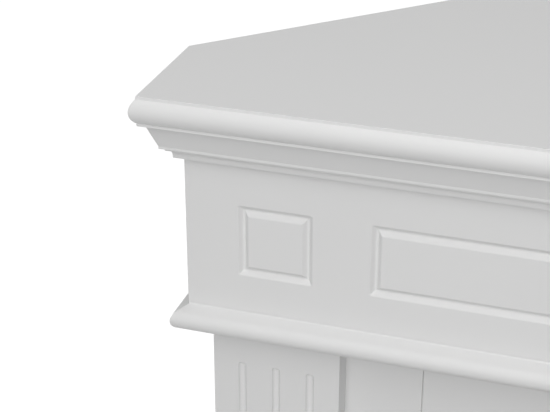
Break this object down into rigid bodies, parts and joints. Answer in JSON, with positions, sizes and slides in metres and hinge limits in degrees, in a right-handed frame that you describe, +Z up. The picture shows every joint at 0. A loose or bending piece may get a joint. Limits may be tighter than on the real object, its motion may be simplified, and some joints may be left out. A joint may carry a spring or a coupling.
{
  "type": "corner electric fireplace",
  "caption": "White painted corner mantel with crown, routed frieze, fluted pilasters and hearth board round a black electric firebox with logs, heater and flap-covered controls.",
  "frame": {"origin": "on the floor, under the middle of the overall box", "axes": "+X along the front to the right, +Y back towards the room's corner, +Z up; the front faces -Y"},
  "size_m": [1.0344, 0.6402, 0.955],
  "materials": {
    "white_paint": "satin white paint over fibreboard",
    "raw_board": "raw fibreboard",
    "black_steel": "fine textured matt black powder coat",
    "bare_steel": "zinc coated sheet",
    "smoked_glass": "polished, lightly tinted",
    "frosted_screen": "dark translucent acrylic",
    "seal_rubber": "matt foam tape",
    "ember_resin": "painted translucent resin",
    "log_resin": "cast and painted as charred bark",
    "black_plastic": "fine textured moulding",
    "circuit_board": "solder mask"
  },
  "bodies": {
    "root": {"baffle_plate": "black_steel", "blower_motor": "bare_steel", "bracket_left": "bare_steel", "bracket_right": "bare_steel", "casing_bottom": "black_steel", "casing_top": "black_steel", "casing_wrap": "black_steel", "control_board": "circuit_board", "control_panel": "black_plastic", "crown_moulding_front": "white_paint", "crown_moulding_left": "white_paint", "crown_moulding_right": "white_paint", "deck_plate": "black_steel", "ember_bed": "ember_resin", "flame_screen": "frosted_screen", "flicker_bush": "black_plastic", "flicker_motor": "bare_steel", "frieze_board": "white_paint", "frieze_return_left": "white_paint", "frieze_return_right": "white_paint", "front_frame": "black_steel", "glass_front": "smoked_glass", "glass_gasket": "seal_rubber", "grate": "black_steel", "header_board": "white_paint", "hearth_board": "white_paint", "heater_element": "bare_steel", "heater_housing": "bare_steel", "led_board": "circuit_board", "leg_panel_left": "white_paint", "leg_panel_right": "white_paint", "log_back": "log_resin", "log_left": "log_resin", "log_right": "log_resin", "log_top": "log_resin", "lower_moulding_front": "white_paint", "lower_moulding_left": "white_paint", "lower_moulding_right": "white_paint", "mantel_top": "white_paint", "outlet_grille": "black_steel", "pilaster_left": "white_paint", "pilaster_right": "white_paint", "plinth_block_left": "white_paint", "plinth_block_right": "white_paint", "power_inlet": "black_plastic", "side_panel_left": "white_paint", "side_panel_right": "white_paint", "sill_rail": "white_paint", "skirt_front": "white_paint", "skirt_left": "white_paint", "skirt_right": "white_paint", "wall_panel_left": "raw_board", "wall_panel_right": "raw_board"},
    "control_flap": {"control_flap": "black_steel"},
    "button_power": {"button_power": "black_plastic"},
    "button_flame": {"button_flame": "black_plastic"},
    "button_heat": {"button_heat": "black_plastic"},
    "rocker_switch": {"rocker_switch": "black_plastic"},
    "blower_wheel": {"blower_wheel": "black_plastic"},
    "flicker_rod": {"flicker_rod": "bare_steel"}
  },
  "joints": [
    {"name": "flap_hinge", "type": "hinge", "parent": "root", "child": "control_flap", "pos_m": [0.17, -0.2286, 0.1632], "axis": [1, 0, 0], "range_deg": [0, 100]},
    {"name": "power_press", "type": "slide", "parent": "root", "child": "button_power", "axis": [0, 1, 0], "range_m": [0, 0.0015], "stiffness_N_per_m": 800, "springref_m": -0.0004},
    {"name": "flame_press", "type": "slide", "parent": "root", "child": "button_flame", "axis": [0, 1, 0], "range_m": [0, 0.0015], "stiffness_N_per_m": 800, "springref_m": -0.0004},
    {"name": "heat_press", "type": "slide", "parent": "root", "child": "button_heat", "axis": [0, 1, 0], "range_m": [0, 0.0015], "stiffness_N_per_m": 800, "springref_m": -0.0004},
    {"name": "switch_rock", "type": "hinge", "parent": "root", "child": "rocker_switch", "pos_m": [0.2219, -0.2148, 0.1815], "axis": [1, 0, 0], "range_deg": [0, 14]},
    {"name": "wheel_spin", "type": "hinge", "parent": "root", "child": "blower_wheel", "pos_m": [0, -0.1439, 0.5942], "axis": [1, 0, 0], "continuous": true},
    {"name": "rod_spin", "type": "hinge", "parent": "root", "child": "flicker_rod", "pos_m": [0, -0.082, 0.2595], "axis": [1, 0, 0], "continuous": true}
  ]
}
